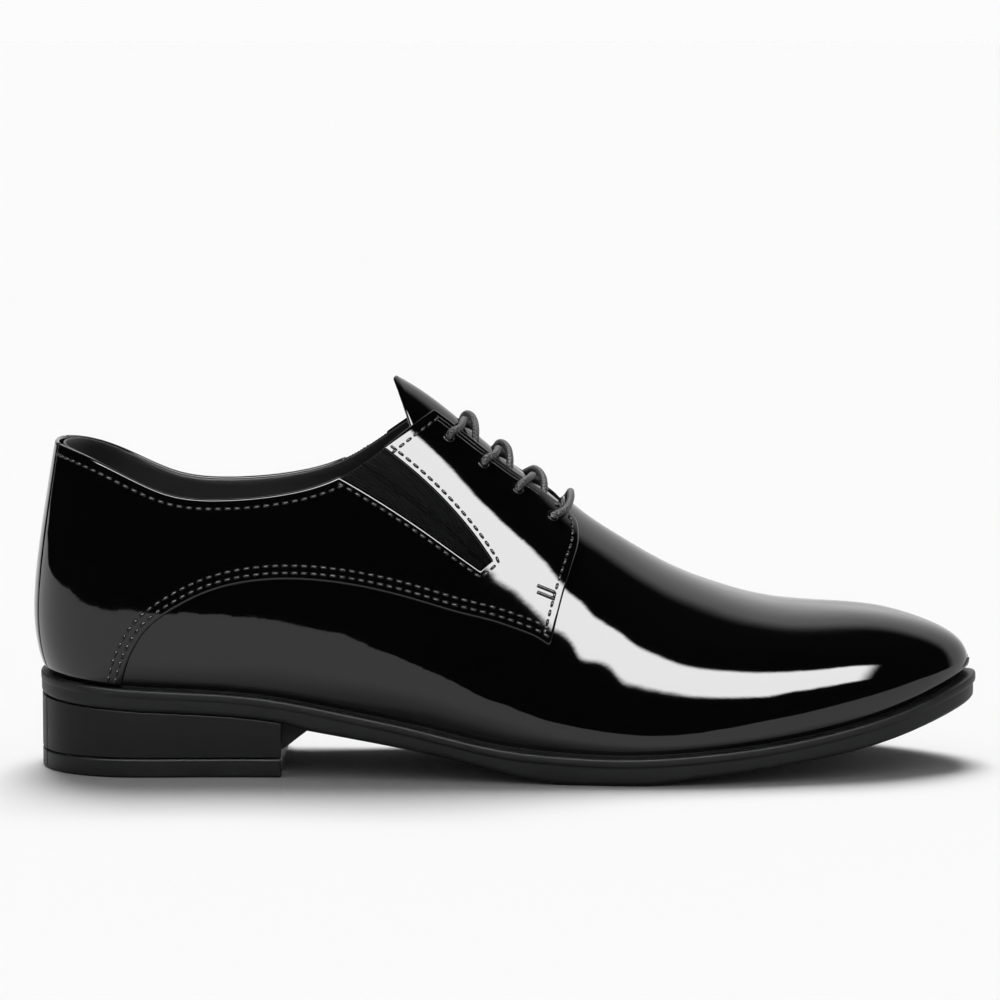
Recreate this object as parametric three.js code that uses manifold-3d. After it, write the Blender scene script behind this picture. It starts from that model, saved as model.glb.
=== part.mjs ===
// A right patent leather derby with a hidden raised insole, standing empty on its sole.
// Millimetres. The toe points along +X, the outer side of the foot faces -Y, and +Z is up.
import * as THREE from 'three';
import { mergeVertices } from 'three/addons/utils/BufferGeometryUtils.js';
import Module from 'manifold-3d';

const wasm = await Module();
wasm.setup();

// Sole and heel
const soleLength = 306.2;
const ballWidth = 103.6;
const waistWidth = 69;
const heelWidth = 68;
const seatHeight = 31.5;          // top of the sole's edge at the back of the heel
const forepartThickness = 9.2;    // the same edge at the ball
const toeRise = 30;               // the same edge at the tip
const toeSpring = 21.5;           // underside of the tip above the floor
const shankHeight = 15.2;         // underside of the waist just in front of the heel
const heelBand = 7.5;             // thickness of the sole over the heel
const heelLength = 80;
const topPieceThickness = 6.2;
const heelInset = 0.4;            // how far the heel stands back from the sole's edge
const weltThickness = 3;          // upper layer of the sole's edge
const weltStep = 0.7;             // how far it stands out past the layer below
const edgeRound = 1.2;            // rounding of the sole's lower edge
const soleMargin = 2;             // sole that shows outside the upper
const heelMargin = 3.2;
const toeMargin = 3.6;

// Upper
const wall = 2;
const vampHeight = 51.8;          // top of the toe box
const instepHeight = 101;         // top of the instep at the middle of the lacing
const ankleTop = 148;             // where the last's cone would close above the ankle
const collarBack = 106;
const collarDip = 89.5;
const facingTop = 117;
const quarterThickness = 1.3;
const backstayWidth = 27;         // strip over the back seam
const goreThickness = 0.8;
const tongueThickness = 2;
const throatGap = 28;             // between the facings at the throat
const throatCorner = 2.5;         // rounding of its two front corners
const collarGap = 26;             // and at the top
const eyeletRadius = 2;
const eyeletInset = 6.5;          // from the facing's edge, at the lowest row
const eyeletInsetTop = 3.8;       // and what it comes down to on the steeper instep above
const eyeletPitch = 11.1;         // along the shoe
const eyeletRows = 4;
const laceDiameter = 2.2;
const laceBow = 5.5;              // how far the lowest bar bows towards the toe

// Inside
const insoleThickness = 3;
const heelLift = 16;              // extra height of the raised insole under the heel

const clearance = 0.3;
const stations = 38;              // steps from the heel's back to the toe's tip
const rises = 14;                 // steps from the feather line to the ridge

const throat = 0.572 * soleLength;
const lowestEyelet = throat - 0.029 * soleLength;

// Outline of the sole: half widths on the two sides of the straight axis.
// The ends are closed by the rounding further down.
const outlineRows = [
  { at: 0.00, medial: 0.490 * heelWidth, lateral: 0.490 * heelWidth },
  { at: 0.12, medial: 0.502 * heelWidth, lateral: 0.500 * heelWidth },
  { at: 0.26, medial: 0.480 * heelWidth, lateral: 0.500 * heelWidth },
  { at: 0.36, medial: 0.448 * waistWidth, lateral: 0.552 * waistWidth },
  { at: 0.46, medial: 0.335 * ballWidth, lateral: 0.420 * ballWidth },
  { at: 0.56, medial: 0.420 * ballWidth, lateral: 0.470 * ballWidth },
  { at: 0.64, medial: 0.483 * ballWidth, lateral: 0.492 * ballWidth },
  { at: 0.70, medial: 0.508 * ballWidth, lateral: 0.478 * ballWidth },
  { at: 0.78, medial: 0.484 * ballWidth, lateral: 0.424 * ballWidth },
  { at: 0.86, medial: 0.420 * ballWidth, lateral: 0.350 * ballWidth },
  { at: 0.93, medial: 0.346 * ballWidth, lateral: 0.284 * ballWidth },
  { at: 1.00, medial: 0.276 * ballWidth, lateral: 0.224 * ballWidth },
];
const heelRound = 0.112;          // share of the length that each end's rounding takes
const toeRound = 0.142;
const endFullness = 2.3;

// Feather line, where the upper meets the sole, and the sole's underside.
const featherRows = [
  { at: 0.00, height: seatHeight },
  { at: 0.12, height: 0.914 * seatHeight },
  { at: 0.24, height: 0.832 * seatHeight },
  { at: 0.32, height: 0.698 * seatHeight },
  { at: 0.40, height: 0.549 * seatHeight },
  { at: 0.48, height: 0.381 * seatHeight },
  { at: 0.56, height: 1.043 * forepartThickness },
  { at: 0.62, height: forepartThickness },
  { at: 0.70, height: 1.120 * forepartThickness },
  { at: 0.78, height: 0.420 * toeRise },
  { at: 0.86, height: 0.560 * toeRise },
  { at: 0.92, height: 0.717 * toeRise },
  { at: 0.97, height: 0.887 * toeRise },
  { at: 1.00, height: toeRise },
];
const undersideRows = [
  { at: 0.290, height: shankHeight },
  { at: 0.360, height: 0.770 * shankHeight },
  { at: 0.410, height: 0.590 * shankHeight },
  { at: 0.460, height: 0.370 * shankHeight },
  { at: 0.520, height: 0.090 * shankHeight },
  { at: 0.560, height: -0.006 * toeSpring },
  { at: 0.600, height: -0.012 * toeSpring },
  { at: 0.640, height: -0.006 * toeSpring },
  { at: 0.680, height: 0.065 * toeSpring },
  { at: 0.740, height: 0.153 * toeSpring },
  { at: 0.800, height: 0.265 * toeSpring },
  { at: 0.860, height: 0.400 * toeSpring },
  { at: 0.920, height: 0.605 * toeSpring },
  { at: 1.000, height: toeSpring },
];

// Ridge of the last above the axis. Behind the throat it runs up over the ankle's cone,
// which the collar then cuts away.
const ridgeRows = [
  { at: 0.00, height: ankleTop },
  { at: 0.20, height: ankleTop },
  { at: 0.33, height: 0.925 * ankleTop },
  { at: 0.42, height: 1.215 * instepHeight },
  { at: 0.505, height: instepHeight },
  { at: 0.54, height: 0.916 * instepHeight },
  { at: 0.58, height: 0.814 * instepHeight },
  { at: 0.62, height: 1.428 * vampHeight },
  { at: 0.67, height: 1.254 * vampHeight },
  { at: 0.72, height: 1.128 * vampHeight },
  { at: 0.78, height: 1.028 * vampHeight },
  { at: 0.84, height: 0.994 * vampHeight },
  { at: 0.90, height: 0.962 * vampHeight },
  { at: 0.95, height: 0.894 * vampHeight },
  { at: 1.00, height: 0.810 * vampHeight },
];
const ridgeLean = 0.02 * ballWidth;   // the ridge lies towards the big toe at the instep

// Shape of the sections: fullness is the exponent of their rounding, swell is how far
// the wall leans out past the feather line, and peak the share of the height where.
const sectionRows = [
  { at: 0.00, fullness: 2.5, peak: 0.185, medial: 0.056 * heelWidth, lateral: 0.056 * heelWidth },
  { at: 0.14, fullness: 2.5, peak: 0.200, medial: 0.046 * heelWidth, lateral: 0.044 * heelWidth },
  { at: 0.34, fullness: 2.3, peak: 0.220, medial: 0.060 * waistWidth, lateral: 0.050 * waistWidth },
  { at: 0.44, fullness: 2.0, peak: 0.190, medial: 0.050 * ballWidth, lateral: 0.030 * ballWidth },
  { at: 0.56, fullness: 2.0, peak: 0.130, medial: 0.022 * ballWidth, lateral: 0.014 * ballWidth },
  { at: 0.68, fullness: 2.15, peak: 0.140, medial: 0.010 * ballWidth, lateral: 0.010 * ballWidth },
  { at: 0.80, fullness: 2.8, peak: 0.220, medial: 0.016 * ballWidth, lateral: 0.016 * ballWidth },
  { at: 0.90, fullness: 3.3, peak: 0.260, medial: 0.016 * ballWidth, lateral: 0.016 * ballWidth },
  { at: 1.00, fullness: 4.6, peak: 0.300, medial: 0.010 * ballWidth, lateral: 0.010 * ballWidth },
];
const heelFan = 0.20;             // share of the length over which sections turn at each end
const toeFan = 0.25;

// Natural cubic spline through one column of a table.
function smooth(rows, column) {
  const x = rows.map((row) => row.at);
  const y = rows.map((row) => row[column]);
  const last = x.length - 1;
  const bend = new Array(last + 1).fill(0);
  const carry = new Array(last + 1).fill(0);
  for (let i = 1; i < last; i++) {
    const ratio = (x[i] - x[i - 1]) / (x[i + 1] - x[i - 1]);
    const pivot = ratio * bend[i - 1] + 2;
    const jump = (y[i + 1] - y[i]) / (x[i + 1] - x[i]) - (y[i] - y[i - 1]) / (x[i] - x[i - 1]);
    bend[i] = (ratio - 1) / pivot;
    carry[i] = (6 * jump / (x[i + 1] - x[i - 1]) - ratio * carry[i - 1]) / pivot;
  }
  bend[last] = 0;
  for (let i = last - 1; i >= 0; i--) bend[i] = bend[i] * bend[i + 1] + carry[i];
  return (at) => {
    let i = 0;
    while (i < last - 1 && at > x[i + 1]) i++;
    const step = x[i + 1] - x[i];
    const a = (x[i + 1] - at) / step;
    const b = 1 - a;
    const cubic = (a ** 3 - a) * bend[i] + (b ** 3 - b) * bend[i + 1];
    return a * y[i] + b * y[i + 1] + cubic * step * step / 6;
  };
}

const medialWidth = smooth(outlineRows, 'medial');
const lateralWidth = smooth(outlineRows, 'lateral');
const featherHeight = smooth(featherRows, 'height');
const ridgeHeight = smooth(ridgeRows, 'height');
const lowerLine = smooth(undersideRows, 'height');
const fullness = smooth(sectionRows, 'fullness');
const peak = smooth(sectionRows, 'peak');
const swell = { 1: smooth(sectionRows, 'medial'), '-1': smooth(sectionRows, 'lateral') };

const centreLine = (at) => (medialWidth(at) - lateralWidth(at)) / 2;
const halfWidth = (at) => (medialWidth(at) + lateralWidth(at)) / 2;

function endRounding(at) {
  const heel = Math.max(0, 1 - at / heelRound);
  const toe = Math.max(0, 1 - (1 - at) / toeRound);
  const off = Math.max(heel, toe);
  return Math.max(0, 1 - off ** endFullness) ** (1 / endFullness);
}

// Places along the sole's edge: turn runs from 0 at the heel's back to 1 at the tip,
// and side is 1 on the inner (medial) and -1 on the outer (lateral) side of the foot.
const share = (turn) => (1 - Math.cos(Math.PI * turn)) / 2;

function outline(turn, side) {
  if (turn < 0) return outline(-turn, -side);
  if (turn > 1) return outline(2 - turn, -side);
  const at = share(turn);
  const y = centreLine(at) + side * halfWidth(at) * endRounding(at);
  return { at, x: soleLength * at, y };
}

function edgePoint(turn, side, inset) {
  const step = 0.002;
  const here = outline(turn, side);
  const before = outline(turn - step, side);
  const after = outline(turn + step, side);
  const run = Math.hypot(after.x - before.x, after.y - before.y);
  const outX = -side * (after.y - before.y) / run;
  const outY = side * (after.x - before.x) / run;
  return { at: here.at, x: here.x - outX * inset, y: here.y - outY * inset, outX, outY };
}

function margin(at) {
  const heel = Math.max(0, 1 - at / heelRound);
  const toe = Math.max(0, 1 - (1 - at) / heelFan);
  return soleMargin + (heelMargin - soleMargin) * heel * heel + (toeMargin - soleMargin) * toe * toe;
}

// The section planes turn towards the middle of the toe and of the heel.
function ridgePlace(at) {
  const heel = Math.max(0, 1 - at / heelFan);
  const toe = Math.max(0, 1 - (1 - at) / toeFan);
  return at + heelFan / 2 * heel * heel - toeFan / 2 * toe * toe;
}

const ridgeY = (at) => centreLine(at) + ridgeLean * Math.sin(Math.PI * at) ** 2;

// A point of the last: rise runs from 0 at the feather line to 1 at the ridge.
function lastPoint(turn, side, rise) {
  if (rise > 1) return lastPoint(turn, -side, 2 - rise);
  if (turn < 0) return lastPoint(-turn, -side, rise);
  if (turn > 1) return lastPoint(2 - turn, -side, rise);
  const at = share(turn);
  const foot = edgePoint(turn, side, margin(at));
  const top = ridgePlace(at);
  const exponent = fullness(at);
  const angle = rise * Math.PI / 2;
  const cosine = Math.max(0, Math.cos(angle));
  const radius = (cosine ** exponent + Math.sin(angle) ** exponent) ** (-1 / exponent);
  const inward = 1 - radius * cosine;
  const up = radius * Math.sin(angle);
  const high = peak(at);
  const hump = (up / high) * (Math.max(0, 1 - up) / (1 - high)) ** ((1 - high) / high);
  const out = swell[side](at) * hump;
  const x = foot.x + (soleLength * top - foot.x) * inward + foot.outX * out;
  const y = foot.y + (ridgeY(top) - foot.y) * inward + foot.outY * out;
  const base = featherHeight(at);
  return new THREE.Vector3(x, y, base + (ridgeHeight(x / soleLength) - base) * up);
}

function lastNormal(turn, side, rise) {
  const step = 0.004;
  const along = lastPoint(turn + step, side, rise).sub(lastPoint(turn - step, side, rise));
  const upward = lastPoint(turn, side, rise + step).sub(lastPoint(turn, side, Math.max(0, rise - step)));
  return side < 0 ? along.cross(upward).normalize() : upward.cross(along).normalize();
}

// One loop of points: along the outer side to the tip and back along the inner side.
function loop(place) {
  const ring = [];
  for (let i = 0; i <= stations; i++) ring.push(place(i / stations, -1));
  for (let i = stations - 1; i > 0; i--) ring.push(place(i / stations, 1));
  return ring;
}

// A closed body from a stack of loops, lowest first.
function stack(rings) {
  const positions = rings.flat().flatMap((point) => [point.x, point.y, point.z]);
  const count = rings[0].length;
  const index = [];
  const top = (rings.length - 1) * count;
  for (let j = 0; j < rings.length - 1; j++) {
    for (let k = 0; k < count; k++) {
      const a = j * count + k;
      const b = j * count + (k + 1) % count;
      index.push(a, b, b + count, a, b + count, a + count);
    }
  }
  for (let i = 0; i < stations; i++) {
    const outer = [i, i + 1];
    const inner = [(count - i) % count, count - i - 1];
    if (i < stations - 1) {
      index.push(outer[0], inner[1], outer[1]);
      index.push(top + outer[0], top + outer[1], top + inner[1]);
    }
    if (i > 0) {
      index.push(outer[0], inner[0], inner[1]);
      index.push(top + outer[0], top + inner[1], top + inner[0]);
    }
  }
  const geometry = new THREE.BufferGeometry();
  geometry.setAttribute('position', new THREE.Float32BufferAttribute(positions, 3));
  geometry.setIndex(index);
  return geometry;
}

function solid(geometry) {
  const plain = new THREE.BufferGeometry();
  plain.setAttribute('position', geometry.getAttribute('position'));
  plain.setIndex(geometry.getIndex());
  const merged = mergeVertices(plain, 1e-4);
  const source = merged.getIndex().array;
  const kept = [];
  for (let i = 0; i < source.length; i += 3) {
    const [a, b, c] = [source[i], source[i + 1], source[i + 2]];
    if (a !== b && b !== c && c !== a) kept.push(a, b, c);
  }
  return new wasm.Manifold(new wasm.Mesh({
    numProp: 3,
    vertProperties: new Float32Array(merged.getAttribute('position').array),
    triVerts: new Uint32Array(kept),
  }));
}

// The last grown (or shrunk) by a distance along its normals. A skirt carries it below
// the feather line where something has to be cut right through.
function last(grow, skirt = 0) {
  const rings = [];
  for (let j = 0; j <= rises; j++) {
    rings.push(loop((turn, side) => {
      const rise = j / rises;
      const normal = lastNormal(turn, side, rise);
      if (j === 0) normal.setZ(0).normalize();
      return lastPoint(turn, side, rise).addScaledVector(normal, grow);
    }));
  }
  if (skirt > 0) rings.unshift(rings[0].map((point) => new THREE.Vector3(point.x, point.y, point.z - skirt)));
  return solid(stack(rings));
}

// Cutters: a side view pushed across the shoe, or a plan pushed up through it.
function sideCut(points, from, to) {
  const shape = new THREE.Shape(points.map(([x, z]) => new THREE.Vector2(x, z)));
  const geometry = new THREE.ExtrudeGeometry(shape, { depth: to - from, bevelEnabled: false });
  geometry.rotateX(Math.PI / 2);
  geometry.translate(0, to, 0);
  return solid(geometry);
}

function planCut(points, from, to) {
  const shape = new THREE.Shape(points.map(([x, y]) => new THREE.Vector2(x, y)));
  const geometry = new THREE.ExtrudeGeometry(shape, { depth: to - from, bevelEnabled: false });
  geometry.translate(0, 0, from);
  return solid(geometry);
}

const beyond = 40;                // how far cutters run past the shoe
const above = ankleTop + beyond;

// Height of the grown last over a place near the ridge, where its sections lie across.
function heightAt(x, y, grow = 0) {
  const at = x / soleLength;
  const side = y < ridgeY(at) ? -1 : 1;
  const turn = Math.acos(1 - 2 * at) / Math.PI;
  let low = 0.2;
  let high = 1;
  for (let i = 0; i < 30; i++) {
    const middle = (low + high) / 2;
    const point = lastPoint(turn, side, middle);
    if (side * (point.y - y) > 0) low = middle;
    else high = middle;
  }
  const point = lastPoint(turn, side, low);
  return point.addScaledVector(lastNormal(turn, side, low), grow);
}

const sideOf = { lateral: -1, medial: 1 };

// Outsole: one moulding, with a welt that stands out over the layer below it, a hollow
// waist, a flat tread at the ball and a sprung toe.
function underside(at) {
  const band = featherHeight(at) - heelBand;
  const waist = Math.max(0, lowerLine(at));
  const front = heelLength / soleLength;
  const blend = THREE.MathUtils.smoothstep(at, front, front + 0.03);
  return at < front ? band : band + (waist - band) * blend;
}

function makeOutsole() {
  const step = (at) => weltStep * THREE.MathUtils.lerp(0.25, 1, THREE.MathUtils.smoothstep(at, 0.3, 0.5));
  const place = (inset, height) => loop((turn, side) => {
    const at = share(turn);
    const point = edgePoint(turn, side, inset(at));
    return new THREE.Vector3(point.x, point.y, height(at));
  });
  return solid(stack([
    place((at) => step(at) + edgeRound, underside),
    place(step, (at) => underside(at) + edgeRound),
    place(step, (at) => featherHeight(at) - weltThickness - 0.5 * weltStep),
    place(() => 0, (at) => featherHeight(at) - weltThickness),
    place(() => 0, (at) => featherHeight(at) - 0.5 * edgeRound - clearance),
    place(() => 0.5 * edgeRound, (at) => featherHeight(at) - clearance),
  ]));
}

// Heel: a block under the sole and a rubber top piece under the block, both cut square
// at the breast, with a hollow wedge from the breast up to the waist.
function heelOutline(inset) {
  const points = [];
  const steps = 12;
  const front = Math.acos(1 - 2 * (heelLength - inset) / soleLength) / Math.PI;
  for (let i = 0; i <= steps; i++) points.push(edgePoint(front * (1 - i / steps), 1, inset));
  for (let i = 1; i <= steps; i++) points.push(edgePoint(front * i / steps, -1, inset));
  return points.map((point) => [point.x, point.y]);
}

function makeHeelBlock() {
  const reach = heelLength - heelInset;
  const top = (x) => underside(Math.min(x, heelLength - heelInset) / soleLength) - clearance;
  const seat = [];
  const steps = 10;
  for (let i = 0; i <= steps; i++) {
    const x = -beyond + (reach + beyond) * i / steps;
    seat.push([x, top(Math.max(x, 0))]);
  }
  const block = planCut(heelOutline(heelInset), topPieceThickness + clearance, seatHeight)
    .intersect(sideCut([[-beyond, 0], [reach, 0], ...seat.reverse()], -heelWidth, heelWidth));
  const wedgeLength = 0.03 * soleLength;
  const wedgeFoot = 0.55 * shankHeight;
  const wedge = [[reach - wedgeLength, wedgeFoot], [reach, wedgeFoot]];
  for (let i = 1; i <= 5; i++) {
    const along = i / 5;
    const x = reach + wedgeLength * along;
    const limit = underside(x / soleLength) - clearance;
    wedge.push([x, Math.min(limit, wedgeFoot + (limit - wedgeFoot) * along ** 1.3)]);
  }
  for (let i = 4; i >= 0; i--) {
    const x = reach + wedgeLength * i / 5;
    wedge.push([x, underside(x / soleLength) - clearance - 0.02 * (i > 0 ? 0 : 1)]);
  }
  wedge.push([reach - wedgeLength, top(reach - wedgeLength)]);
  const wedgeHalf = 0.41 * heelWidth;
  return block.add(sideCut(wedge, -wedgeHalf, wedgeHalf));
}

function makeTopPiece() {
  const lower = planCut(heelOutline(heelInset + 0.5 * edgeRound), 0, topPieceThickness);
  const upper = planCut(heelOutline(heelInset), 0.5 * edgeRound, topPieceThickness);
  return lower.add(upper);
}

// Upper: the last's skin, one wall thick, open along the collar, the lacing and below.
const collarRows = [
  { at: -0.06, height: collarBack },
  { at: 0.02, height: 0.998 * collarBack },
  { at: 0.07, height: 0.955 * collarBack },
  { at: 0.14, height: 1.022 * collarDip },
  { at: 0.20, height: collarDip },
  { at: 0.27, height: 1.024 * collarDip },
  { at: 0.33, height: 0.836 * facingTop },
  { at: 0.38, height: 0.925 * facingTop },
  { at: 0.42, height: 0.995 * facingTop },
  { at: 0.46, height: 1.040 * facingTop },
];
const collarHeight = smooth(collarRows, 'height');

function collarCutter() {
  const from = collarRows[0].at;
  const to = collarRows[collarRows.length - 1].at;
  const line = [];
  const steps = 26;
  for (let i = 0; i <= steps; i++) {
    const at = from + (to - from) * i / steps;
    line.push([at * soleLength, collarHeight(at)]);
  }
  const front = line[steps][0];
  return sideCut([...line, [front, above], [line[0][0], above]], -ballWidth, ballWidth);
}

const gapHalf = (x) => {
  const along = (throat - x) / (throat - lowestEyelet + eyeletPitch * (eyeletRows - 1));
  return THREE.MathUtils.lerp(throatGap, collarGap, THREE.MathUtils.clamp(along, 0, 1)) / 2;
};

// The gap between the facings: its front corners are cut off, so that the throat is round.
function lacingCutter() {
  const back = throat - eyeletPitch * (eyeletRows + 2);
  const front = throat - throatCorner;
  const steps = 8;
  const points = [];
  for (const side of [-1, 1]) {
    const edge = [];
    for (let i = 0; i <= steps; i++) {
      const x = back + (front - back) * i / steps;
      edge.push([x, ridgeY(x / soleLength) + side * gapHalf(x)]);
    }
    edge.push([throat, ridgeY(throat / soleLength) + side * (gapHalf(throat) - throatCorner)]);
    if (side < 0) points.push(...edge);
    else points.push(...edge.reverse());
  }
  return planCut(points, vampHeight, above);
}

const insetOf = (row) => eyeletInsetTop + (eyeletInset - eyeletInsetTop) * 0.3 ** row;

const eyelets = [];
for (let row = 0; row < eyeletRows; row++) {
  const x = lowestEyelet - eyeletPitch * row;
  for (const side of [-1, 1]) {
    eyelets.push({ row, side, x, y: ridgeY(x / soleLength) + side * (gapHalf(x) + insetOf(row)) });
  }
}

function eyeletCutters(radius) {
  return eyelets.map(({ x, y }) => {
    const depth = 6 * (wall + quarterThickness);
    const pin = new THREE.CylinderGeometry(radius, radius, depth, 10);
    const on = heightAt(x, y);
    const facing = heightAt(x, y, 1).sub(on).normalize();
    const turn = new THREE.Quaternion().setFromUnitVectors(new THREE.Vector3(0, 1, 0), facing);
    pin.applyQuaternion(turn);
    pin.translate(on.x, on.y, on.z);
    return solid(pin);
  });
}

const cutAll = (body, cutters) => cutters.reduce((left, cutter) => left.subtract(cutter), body);

const outerLast = last(0);
const collar = collarCutter();
const lacing = lacingCutter();

function makeUpper() {
  const hollow = last(-wall, beyond);
  return cutAll(outerLast.subtract(hollow), [collar, lacing, ...eyeletCutters(eyeletRadius)]);
}

// Quarters: the rear panels lapped over the vamp, with a tab at the foot of the facing.
const seamRows = [
  { at: 0.5411, height: 0.4457 * instepHeight },
  { at: 0.5306, height: 0.4656 * instepHeight },
  { at: 0.5092, height: 0.4917 * instepHeight },
  { at: 0.4877, height: 0.5135 * instepHeight },
  { at: 0.4485, height: 0.5436 * instepHeight },
  { at: 0.4128, height: 0.5750 * instepHeight },
  { at: 0.3794, height: 0.6801 * collarDip },
  { at: 0.3375, height: 0.7093 * collarDip },
  { at: 0.2832, height: 0.7277 * collarDip },
  { at: 0.2293, height: 0.7194 * collarDip },
  { at: 0.1859, height: 0.6851 * collarDip },
  { at: 0.1449, height: 0.6170 * collarDip },
  { at: 0.1183, height: 0.5478 * collarDip },
  { at: 0.1040, height: 0.4741 * collarDip },
  { at: 0.0980, height: 0.4280 * collarDip },
  { at: 0.0900, height: 0.3220 * collarDip },
];
const facingRows = [
  { at: 0.5608, height: 0.6585 * instepHeight },
  { at: 0.5653, height: 0.6980 * instepHeight },
  { at: 0.5694, height: 0.7360 * instepHeight },
  { at: 0.5698, height: 0.7720 * instepHeight },
  { at: 0.5673, height: 0.8000 * instepHeight },
  { at: 0.5620, height: 0.8300 * instepHeight },
];
const goreRows = [
  { at: 0.322, height: 1.105 * collarDip },
  { at: 0.426, height: 0.854 * collarDip },
  { at: 0.470, height: 0.663 * instepHeight },
  { at: 0.483, height: 0.696 * instepHeight },
  { at: 0.468, height: 0.760 * instepHeight },
  { at: 0.430, height: 0.893 * instepHeight },
  { at: 0.368, height: 1.080 * instepHeight },
];
const inPlace = ({ at, height }) => [at * soleLength, height];

function panelRegion(points, side) {
  const middle = 0.5 * clearance;
  return side < 0 ? sideCut(points, -ballWidth, -middle) : sideCut(points, middle, ballWidth);
}

// Backstay: the upright strip between the quarters, over the seam at the back of the heel.
function backRegion(half) {
  const front = 0.1 * soleLength;
  return planCut([[-beyond, -half], [front, -half], [front, half], [-beyond, half]], 0, above);
}

function makeBackstay() {
  const half = backstayWidth / 2 - clearance;
  return quarterShell.intersect(backRegion(half)).subtract(collar);
}

function makeQuarter(side) {
  const shell = quarterShell.subtract(backRegion(backstayWidth / 2));
  const seam = seamRows.map(inPlace);
  const facing = facingRows.map(inPlace);
  const back = [[seam[seam.length - 1][0], 0], [-beyond, 0], [-beyond, above], [throat, above]];
  const region = panelRegion([...seam, ...back, ...facing.reverse()], side);
  const window = panelRegion(goreRows.map(inPlace), side);
  return cutAll(shell.intersect(region), [window, collar, lacing, ...eyeletCutters(eyeletRadius)]);
}

// Gores: elastic let into each quarter between the facing and the ankle.
function makeGore(side) {
  const rows = goreRows.map(inPlace);
  const centre = rows.reduce((sum, [x, z]) => [sum[0] + x / rows.length, sum[1] + z / rows.length], [0, 0]);
  const shrunk = rows.map(([x, z]) => {
    const away = Math.hypot(x - centre[0], z - centre[1]);
    const scale = 1 - 3 * clearance / away;
    return [centre[0] + (x - centre[0]) * scale, centre[1] + (z - centre[1]) * scale];
  });
  const low = last(clearance);
  const high = last(clearance + goreThickness);
  return high.subtract(low).intersect(panelRegion(shrunk, side)).subtract(collar);
}

// Tongue: a curved flap under the facings that starts below the vamp's edge.
function makeTongue() {
  const outside = last(-wall - clearance);
  const inside = last(-wall - clearance - tongueThickness, 0);
  const foot = throat + 0.03 * soleLength;
  const top = 0.385 * soleLength;
  const half = collarGap / 2 + eyeletInset + 4 * eyeletRadius;
  const middle = (x) => ridgeY(x / soleLength);
  const plan = [
    [foot, middle(foot) - 0.5 * half], [foot, middle(foot) + 0.5 * half],
    [throat, middle(throat) + 0.75 * half], [lowestEyelet, middle(lowestEyelet) + 0.9 * half],
    [top + 0.6 * half, middle(top) + half], [top + 0.15 * half, middle(top) + 0.7 * half],
    [top, middle(top) + 0.3 * half], [top, middle(top) - 0.3 * half],
    [top + 0.15 * half, middle(top) - 0.7 * half], [top + 0.6 * half, middle(top) - half],
    [lowestEyelet, middle(lowestEyelet) - 0.9 * half], [throat, middle(throat) - 0.75 * half],
  ];
  return outside.subtract(inside).intersect(planCut(plan.reverse(), 0.9 * vampHeight, above));
}

// Insole: it closes the upper from inside and lifts the heel.
function insoleTop(at) {
  const lift = 1 - THREE.MathUtils.smoothstep(at, 0.12, 0.62);
  return featherHeight(at) + insoleThickness + heelLift * lift;
}

function makeInsole() {
  const lower = [];
  const upper = [];
  const steps = 26;
  for (let i = 0; i <= steps; i++) {
    const at = i / steps;
    lower.push([at * soleLength, featherHeight(at) + clearance]);
    upper.push([at * soleLength, insoleTop(at)]);
  }
  return last(-wall - clearance, 0.1 * beyond).intersect(sideCut([...lower, ...upper.reverse()], -ballWidth, ballWidth));
}

// Lace: a bar low in the throat and a crossing above each pair of eyelets.
function strand(points) {
  const path = new THREE.CatmullRomCurve3(points);
  const round = [];
  const sides = 8;
  for (let i = 0; i < sides; i++) {
    const angle = 2 * Math.PI * i / sides;
    round.push(new THREE.Vector2(Math.cos(angle), Math.sin(angle)).multiplyScalar(laceDiameter / 2));
  }
  return solid(new THREE.ExtrudeGeometry(new THREE.Shape(round), { steps: 9, extrudePath: path, bevelEnabled: false }));
}

const laceLift = clearance + quarterThickness + clearance + laceDiameter / 2;
const laceRest = clearance + laceDiameter / 2 - wall;

// From an eyelet over its own facing, then down at the opposite facing's edge, one row
// nearer the toe, where the lace goes on underneath.
function overFacings(row, side) {
  const x = lowestEyelet - eyeletPitch * row;
  const end = x + eyeletPitch - 0.5 * laceDiameter;
  const from = side * (gapHalf(x) + insetOf(row) - eyeletRadius);
  const to = -side * (gapHalf(end) - laceDiameter);
  const points = [];
  const steps = 6;
  for (let i = 0; i <= steps; i++) {
    const along = i / steps;
    const px = x + (end - x) * Math.sin(along * Math.PI / 2);
    const py = ridgeY(px / soleLength) + THREE.MathUtils.lerp(from, to, along);
    const dive = THREE.MathUtils.smoothstep(along, 0.6, 1);
    points.push(heightAt(px, py, THREE.MathUtils.lerp(laceLift, laceRest, dive)));
  }
  return strand(points);
}

// The bar joins the two lowest eyelets on the outside and bows loosely towards the toe.
function makeLaceBar() {
  const points = [];
  const steps = 6;
  const reach = gapHalf(lowestEyelet) + eyeletInset - eyeletRadius;
  for (let i = 0; i <= steps; i++) {
    const across = 2 * i / steps - 1;
    const px = lowestEyelet + laceBow * (1 - across * across);
    const py = ridgeY(px / soleLength) + across * reach;
    points.push(heightAt(px, py, laceLift));
  }
  return strand(points);
}

const patent = { color: 0x0a0a0b, roughness: 0.08, metalness: 0 };
const rubber = { color: 0x1f2120, roughness: 0.5, metalness: 0 };
const elastic = { color: 0x151516, roughness: 0.8, metalness: 0 };
const lining = { color: 0x2a2624, roughness: 0.7, metalness: 0 };
const cord = { color: 0x3c3c3e, roughness: 0.7, metalness: 0 };

const shoe = new THREE.Group();

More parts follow.
